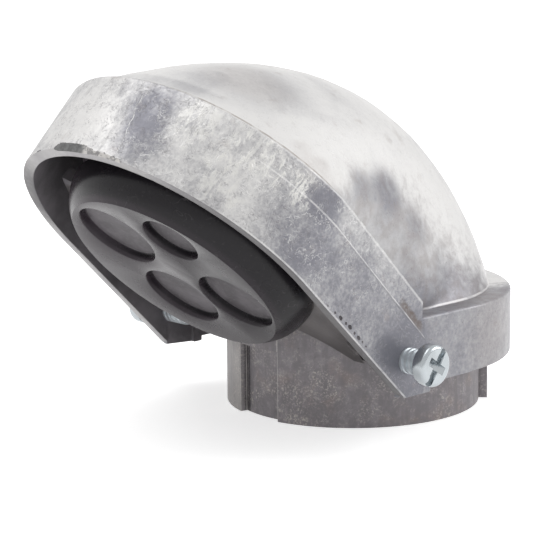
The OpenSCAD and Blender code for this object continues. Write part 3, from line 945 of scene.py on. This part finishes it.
def thread_ridge(name, radius, depth, pitch, low, high, outside, steps=48, crest=0.14):
    """A helical ridge round Z, into a bore or out from a shank; its crest is a share of the pitch."""
    sign = 1 if outside else -1
    half = pitch * 0.46
    sunk = 0.15 * MM
    points = ((radius - sign * sunk, -half), (radius + sign * depth, -pitch * crest / 2),
              (radius + sign * depth, pitch * crest / 2), (radius - sign * sunk, half))
    mesh = bpy.data.meshes.new(name)
    mesh.from_pydata([(r, 0, low + half + z) for r, z in points], [(0, 1), (1, 2), (2, 3), (3, 0)], [])
    piece = add_object(name, mesh)
    turns = (high - low - 2 * half) / pitch
    whole = max(1, round(turns * steps))
    apply_modifier(piece, "SCREW", angle=2 * math.pi * whole / steps, steps=whole, render_steps=whole,
                   screw_offset=pitch * whole / steps, use_merge_vertices=False, use_smooth_shade=True)
    with edit_mode(piece):
        bpy.ops.mesh.fill_holes(sides=8)
        bpy.ops.mesh.normals_make_consistent(inside=False)
    return piece


def on_saddle(face):
    _, up, out = in_mouth(face.calc_center_median())
    return 17 * MM < out < 20 * MM and up > 4 * MM


def build_hub(sizes, finish):
    piece = merged_copy("hub_body", "hub_casting")

    def rough_corner(edge):
        return sharp(edge, 30) and edge.is_convex and edge.calc_length() > 0.2 * MM \
            and both_ends(edge, lambda p: p.z < 22 * MM and p.xy.length > BORE_RADIUS + 1 * MM)

    round_edges(piece, rough_corner, sizes.cast_edge)
    soften(piece)
    metal = weathered_casting(finish)
    dress(piece, metal, saddle_casting(finish), dark_inside(finish))
    give_faces(piece, 1, on_saddle)
    # The saddle arms' upper ends get the dark inside as painted shade
    give_faces(piece, 2, lambda face: in_mouth(face.calc_center_median())[1] > 54 * MM)
    finish_piece(piece, "root", "hub_body")
    thread = thread_ridge("conduit_thread", BORE_RADIUS, sizes.conduit_thread, sizes.conduit_pitch,
                          0.6 * MM, THREAD_LENGTH, outside=False, steps=72)
    dress(thread, metal)
    soften(thread)
    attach(thread, "root")


# ---- insulator ----

def raise_floors(piece):
    """Brings the knockouts' floors out to where the moulding's skin lies."""
    with open_mesh(piece) as mesh:
        for vertex in mesh.verts:
            if abs(INSULATOR_FACE - in_mouth(vertex.co)[2] - RECESS) < 0.05 * MM:
                vertex.co += OUT * FLOOR_RISE


def build_insulator(sizes, finish):
    piece = merged_copy("insulator", "insulator_moulding")
    raise_floors(piece)
    round_edges(piece, lambda edge: sharp(edge, 50) and edge.is_convex, sizes.mould_edge)
    soften(piece)
    dress(piece, moulded_insulator(finish), dusty_moulding(finish))

    def on_floor(face):
        below = INSULATOR_FACE - in_mouth(face.calc_center_median())[2]
        return 1.2 * MM < below < 3 * MM and face.normal.dot(OUT) > 0.95

    give_faces(piece, 1, on_floor)
    finish_piece(piece, "root", "insulator")


# ---- screws ----

def cut(piece, cutter):
    """Takes the cutter's shape out of the piece and deletes the cutter."""
    settle(cutter)
    apply_modifier(piece, "BOOLEAN", operation="DIFFERENCE", object=cutter, solver="EXACT")
    bpy.data.objects.remove(cutter, do_unlink=True)


def box_tool(size, place):
    bpy.ops.mesh.primitive_cube_add(size=1, location=place)
    tool = bpy.context.object
    tool.scale = size
    settle(tool)
    return tool


def build_screw(node, side, sizes, metals):
    """One hood screw, made upright on Z and then laid along X."""
    low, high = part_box(node)
    head_radius = (high.z - low.z) / 2
    head_high = HEAD_HEIGHT - SEAT_GAP
    length = (high.x - low.x) - head_high
    focus()
    bpy.ops.mesh.primitive_cylinder_add(vertices=72, radius=head_radius, depth=head_high,
                                        location=(0, 0, head_high / 2))
    piece = bpy.context.object
    piece.name = node + "_piece"
    settle(piece)
    round_edges(piece, lambda e: sharp(e) and both_ends(e, lambda p: p.z > head_high / 2), 0.8 * MM, 6)
    round_edges(piece, lambda e: sharp(e) and both_ends(e, lambda p: p.z < 0.01 * MM), 0.2 * MM, 2)
    cut(piece, box_tool((3 * head_radius, SLOT_WIDTH, 2 * SLOT_DEPTH), (0, 0, head_high)))
    for turn in (0, math.pi / 2):
        cut(piece, cross_blade(head_high, turn))
    round_edges(piece, lambda e: sharp(e) and e.is_convex and both_ends(e, lambda p: p.z > 1.0 * MM),
                0.07 * MM, 2)
    bpy.ops.object.select_all(action="DESELECT")
    core = SHANK_RADIUS - sizes.screw_thread
    bpy.ops.mesh.primitive_cylinder_add(vertices=48, radius=core, depth=length + 0.4 * MM,
                                        location=(0, 0, -length / 2 + 0.2 * MM))
    shank = bpy.context.object
    settle(shank)
    round_edges(shank, lambda e: sharp(e) and both_ends(e, lambda p: p.z < -length / 2), 0.4 * MM, 2)
    thread = thread_ridge("thread", core, sizes.screw_thread, sizes.screw_pitch,
                          -length + 0.3 * MM, -0.2 * MM, outside=True, crest=0.5)
    for part, metal in ((shank, metals[1]), (thread, metals[1]), (piece, metals[0])):
        soften(part)
        dress(part, metal)
    focus(piece, shank, thread)
    bpy.ops.object.join()
    turn = Matrix.Rotation(sizes.slot_angle, 4, "Z")
    lay = Matrix(((0, 0, 1, 0), (1, 0, 0, 0), (0, 1, 0, 0), (0, 0, 0, 1)))
    middle = (low + high) / 2
    if side < 0:
        lay = Matrix.Rotation(math.pi, 4, "Z") @ lay
    seat = Vector((high.x - head_high if side > 0 else low.x + head_high, middle.y, middle.z))
    piece.data.transform(Matrix.Translation(seat) @ lay @ turn)
    finish_piece(piece, node, node)


def cross_blade(head_high, turn):
    """One tapered blade of the cross recess."""
    focus()
    proud = 0.1 * MM
    tool = box_tool((CROSS_LENGTH, CROSS_WIDTH, CROSS_DEPTH + proud),
                    (0, 0, head_high + (proud - CROSS_DEPTH) / 2))
    with edit_mode(tool):
        select_only(tool, "faces", lambda face: face.normal.z < -0.5)
        bpy.ops.transform.resize(value=(0.22, 0.5, 1), center_override=(0, 0, 0))
    tool.rotation_euler.z = turn
    return tool


# ---- stage ----

def area_light(name, place, size, power):
    """A square light that faces the object."""
    lamp = bpy.data.lights.new(name, "AREA")
    lamp.shape = "RECTANGLE"
    lamp.size = lamp.size_y = size
    lamp.energy = power
    obj = add_object(name, lamp)
    obj.location = place
    obj.rotation_euler = (Vector(LIT_POINT) - Vector(place)).to_track_quat("-Z", "Y").to_euler()


def shown_directly(tree):
    """1 for what is seen straight, in a reflection or through glass, and 0 for light on the object."""
    path = tree.nodes.new("ShaderNodeLightPath")
    total = path.outputs["Is Camera Ray"]
    for ray in ("Is Glossy Ray", "Is Transmission Ray"):
        either = tree.nodes.new("ShaderNodeMath")
        either.operation = "MAXIMUM"
        tree.links.new(total, either.inputs[0])
        tree.links.new(path.outputs[ray], either.inputs[1])
        total = either.outputs[0]
    return total


def strength_switch(tree, unseen, seen):
    """Strength of a light source: unseen as light on the object, seen where it shows itself."""
    level = tree.nodes.new("ShaderNodeMapRange")
    tree.links.new(shown_directly(tree), level.inputs["Value"])
    level.inputs["To Min"].default_value = unseen
    level.inputs["To Max"].default_value = seen
    return level.outputs["Result"]


def build_world(strength):
    world = bpy.data.worlds.new("white_surround")
    world.use_nodes = True
    bpy.context.scene.world = world
    tree = world.node_tree
    surround = tree.nodes["Background"]
    surround.inputs["Color"].default_value = (1, 1, 1, 1)
    tree.links.new(strength_switch(tree, strength, 1.0), surround.inputs["Strength"])


def floor_material():
    """White floor that keeps the object's shadow."""
    material = bpy.data.materials.new("white_floor")
    material.use_nodes = True
    tree = material.node_tree
    shader = tree.nodes["Principled BSDF"]
    shader.inputs["Base Color"].default_value = (0.95, 0.95, 0.95, 1)
    shader.inputs["Roughness"].default_value = 0.9
    shader.inputs["Specular IOR Level"].default_value = 0.1
    shader.inputs["Emission Color"].default_value = (1, 1, 1, 1)
    tree.links.new(strength_switch(tree, 0.0, FLOOR_GLOW), shader.inputs["Emission Strength"])
    return material


def build_floor():
    focus()
    bpy.ops.mesh.primitive_plane_add(size=6, location=(0, 0, CAD_BOX[0].z))
    floor = bpy.context.object
    floor.name = "floor"
    settle(floor)
    dress(floor, floor_material())


def build_camera(stage):
    camera = bpy.data.cameras.new("camera")
    camera.lens = stage.lens
    camera.sensor_width = 36
    camera.clip_start = 0.01
    obj = add_object("camera", camera)
    low, high = CAD_BOX
    aim = (low + high) / 2 + AIM_SHIFT
    a, e = stage.azimuth, stage.elevation
    back = Vector((math.cos(e) * math.sin(a), -math.cos(e) * math.cos(a), math.sin(e)))
    turn = (-back).to_track_quat("-Z", "Y").to_matrix().to_4x4() @ Matrix.Rotation(stage.roll, 4, "Z")
    obj.matrix_world = Matrix.Translation(aim + back * stage.distance) @ turn
    bpy.context.scene.camera = obj


def build_stage(stage):
    build_floor()
    build_world(stage.daylight)
    build_camera(stage)
    area_light("key_light", (-0.2, -0.2, 0.75), 0.6, stage.key_power)
    area_light("fill_light", (0.5, 0.6, 0.45), 0.5, stage.fill_power)
    bpy.context.scene.view_settings.view_transform = "Standard"


# ---- operators ----

def settings(context):
    return context.scene.weatherhead_sizes, context.scene.weatherhead_finish


class WEATHERHEAD_OT_hood(bpy.types.Operator):
    """Build the hood's casting"""
    bl_idname = "weatherhead.hood"
    bl_label = "Hood"

    def execute(self, context):
        build_hood_shell(*settings(context))
        return {"FINISHED"}


class WEATHERHEAD_OT_body(bpy.types.Operator):
    """Build the body's casting and the thread in its hub"""
    bl_idname = "weatherhead.body"
    bl_label = "Body"

    def execute(self, context):
        build_hub(*settings(context))
        return {"FINISHED"}


class WEATHERHEAD_OT_insulator(bpy.types.Operator):
    """Build the moulded insulator"""
    bl_idname = "weatherhead.insulator"
    bl_label = "Insulator"

    def execute(self, context):
        build_insulator(*settings(context))
        return {"FINISHED"}


class WEATHERHEAD_OT_screws(bpy.types.Operator):
    """Build the two hood screws"""
    bl_idname = "weatherhead.screws"
    bl_label = "Hood screws"

    def execute(self, context):
        sizes, finish = settings(context)
        metals = (zinc_plate(finish), zinc_thread(finish))
        for node, side in (("screw_right", 1), ("screw_left", -1)):
            build_screw(node, side, sizes, metals)
        return {"FINISHED"}


class WEATHERHEAD_OT_stage(bpy.types.Operator):
    """Set the floor, surround, lights and camera"""
    bl_idname = "weatherhead.stage"
    bl_label = "Stage"

    def execute(self, context):
        build_stage(context.scene.weatherhead_stage)
        return {"FINISHED"}


class WEATHERHEAD_PT_panel(bpy.types.Panel):
    """Steps that build the weatherhead, and its settings"""
    bl_idname = "WEATHERHEAD_PT_panel"
    bl_label = "Weatherhead"
    bl_space_type = "VIEW_3D"
    bl_region_type = "UI"
    bl_category = "Weatherhead"

    def draw(self, context):
        for step in STEPS:
            self.layout.operator(step.bl_idname)
        for name in GROUPS:
            group = getattr(context.scene, name)
            for key in group.bl_rna.properties.keys():
                if key not in ("rna_type", "name"):
                    self.layout.prop(group, key)


STEPS = (WEATHERHEAD_OT_stage, WEATHERHEAD_OT_body, WEATHERHEAD_OT_insulator, WEATHERHEAD_OT_hood,
         WEATHERHEAD_OT_screws)
GROUPS = {
    "weatherhead_sizes": WeatherheadSizes,
    "weatherhead_finish": WeatherheadFinish,
    "weatherhead_stage": WeatherheadStage,
}


def register():
    for group in (*GROUPS.values(), *STEPS, WEATHERHEAD_PT_panel):
        bpy.utils.register_class(group)
    for name, group in GROUPS.items():
        setattr(bpy.types.Scene, name, bpy.props.PointerProperty(type=group))


def unregister():
    for name in GROUPS:
        delattr(bpy.types.Scene, name)
    for group in (WEATHERHEAD_PT_panel, *STEPS, *GROUPS.values()):
        bpy.utils.unregister_class(group)


def main():
    register()
    bpy.ops.weatherhead.stage()
    bpy.ops.weatherhead.body()
    bpy.ops.weatherhead.insulator()
    bpy.ops.weatherhead.hood()
    bpy.ops.weatherhead.screws()


if __name__ == "__main__":
    main()
